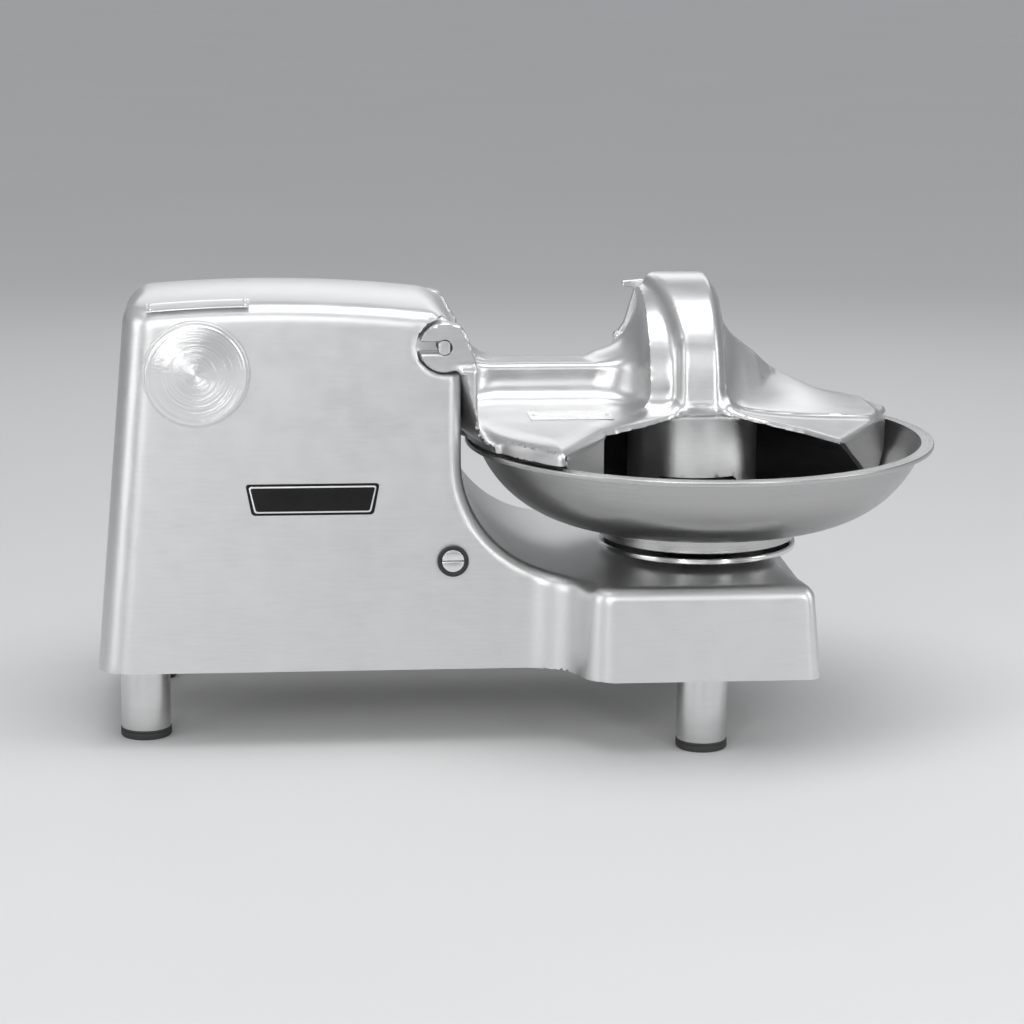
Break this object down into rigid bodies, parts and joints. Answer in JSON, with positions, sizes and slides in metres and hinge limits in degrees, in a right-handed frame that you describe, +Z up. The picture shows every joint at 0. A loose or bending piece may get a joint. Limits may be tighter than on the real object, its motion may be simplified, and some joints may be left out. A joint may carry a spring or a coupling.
{
  "type": "bowl cutter",
  "caption": "Bench-top food cutter with a rotating bowl, curved knives under a hinged cast cover, a motor housing and an attachment hub.",
  "frame": {"origin": "centre of the footprint at the level of the soles of the feet", "axes": "+X from the motor housing towards the bowl, +Y from the front towards the back, +Z up"},
  "size_m": [0.852, 0.48, 0.4521],
  "materials": {
    "burnished_aluminium": "burnished casting",
    "leg_metal": "satin",
    "black_rubber": "matte",
    "bowl_stainless": "polished",
    "knife_steel": "ground",
    "black_plastic": "moulded",
    "button_metal": "satin",
    "plate_metal": "satin",
    "cast_iron_parts": "as cast",
    "bronze_wheel": "machined",
    "machined_steel": "machined"
  },
  "bodies": {
    "base": {"housing": "burnished_aluminium", "hinge_pins": "machined_steel", "bottom_cover": "machined_steel", "bottom_cover_screws": "machined_steel", "spindle_bearings": "machined_steel", "gear_frame": "cast_iron_parts", "worm_bearings": "machined_steel", "worm_post": "cast_iron_parts", "motor_body": "cast_iron_parts", "motor_cradle": "cast_iron_parts", "drive_belt": "black_rubber", "knife_arm": "burnished_aluminium", "knife_bearings": "machined_steel", "bearing_posts": "cast_iron_parts", "arm_shaft_seal": "black_rubber", "hub_socket": "burnished_aluminium", "hub_ring": "burnished_aluminium", "button_bezel": "black_plastic", "switch_box": "black_plastic", "interlock_switch": "black_plastic", "cable_gland": "black_plastic", "front_plate": "plate_metal", "top_plate": "plate_metal", "housing_plate_rivets": "machined_steel", "leg_front_left": "leg_metal", "foot_front_left": "black_rubber", "leg_front_right": "leg_metal", "foot_front_right": "black_rubber", "leg_rear_left": "leg_metal", "foot_rear_left": "black_rubber", "leg_rear_right": "leg_metal", "foot_rear_right": "black_rubber"},
    "bowl_drive": {"bowl": "bowl_stainless", "bowl_table": "machined_steel", "bowl_drive_pins": "machined_steel", "bowl_spindle": "machined_steel", "bowl_worm_wheel": "bronze_wheel"},
    "worm_drive": {"worm_shaft": "machined_steel", "reduction_gear": "machined_steel"},
    "motor_rotor": {"motor_shaft": "machined_steel", "motor_pinion": "machined_steel", "motor_pulley": "machined_steel"},
    "knife_drive": {"knife_shaft": "machined_steel", "knife_pulley": "machined_steel", "knife_hub_sleeve": "knife_steel", "knife_blade_inner": "knife_steel", "knife_blade_outer": "knife_steel", "knife_nut": "knife_steel"},
    "hub_drive": {"hub_shaft": "machined_steel", "hub_worm_wheel": "bronze_wheel"},
    "cover": {"bowl_cover": "burnished_aluminium", "comb_plate": "knife_steel", "latch_pin": "machined_steel", "cover_plate": "plate_metal", "cover_plate_rivets": "machined_steel"},
    "latch": {"latch_lever": "machined_steel"},
    "start_button": {"start_button": "button_metal"},
    "stop_button": {"stop_button": "button_metal"},
    "hub_cap": {"hub_cap": "burnished_aluminium"}
  },
  "joints": [
    {"name": "cover_hinge", "type": "hinge", "parent": "base", "child": "cover", "pos_m": [-0.082, 0, 0.399], "axis": [0, -1, 0], "range_deg": [0, 95]},
    {"name": "bowl_spin", "type": "hinge", "parent": "base", "child": "bowl_drive", "pos_m": [0.186, 0, 0.18], "axis": [0, 0, 1], "continuous": true},
    {"name": "worm_spin", "type": "hinge", "parent": "base", "child": "worm_drive", "pos_m": [0.086, 0.0784, 0.124], "axis": [1, 0, 0], "continuous": true},
    {"name": "motor_spin", "type": "hinge", "parent": "base", "child": "motor_rotor", "pos_m": [-0.214, 0.0624, 0.17179], "axis": [1, 0, 0], "continuous": true},
    {"name": "knife_spin", "type": "hinge", "parent": "base", "child": "knife_drive", "pos_m": [-0.014, 0.118, 0.323], "axis": [1, 0, 0], "continuous": true},
    {"name": "hub_spin", "type": "hinge", "parent": "base", "child": "hub_drive", "pos_m": [-0.3246, 0, 0.375], "axis": [0, 1, 0], "continuous": true},
    {"name": "latch_turn", "type": "hinge", "parent": "cover", "child": "latch", "pos_m": [0.122, 0.155, 0.369], "axis": [0, -1, 0], "range_deg": [0, 60]},
    {"name": "start_press", "type": "slide", "parent": "base", "child": "start_button", "axis": [0, 0.9983, -0.0576], "range_m": [0, 0.003], "stiffness_N_per_m": 400, "springref_m": -0.001},
    {"name": "stop_press", "type": "slide", "parent": "base", "child": "stop_button", "axis": [0, 0.9983, -0.0576], "range_m": [0, 0.003], "stiffness_N_per_m": 400, "springref_m": -0.001},
    {"name": "hub_cap_pull", "type": "slide", "parent": "base", "child": "hub_cap", "axis": [0, -1, 0], "range_m": [0, 0.06]}
  ],
  "couplings": [
    {"joint": "worm_spin", "follows": "bowl_spin", "ratio": 40},
    {"joint": "motor_spin", "follows": "bowl_spin", "ratio": -86},
    {"joint": "knife_spin", "follows": "bowl_spin", "ratio": -86},
    {"joint": "hub_spin", "follows": "bowl_spin", "ratio": 8.6}
  ]
}
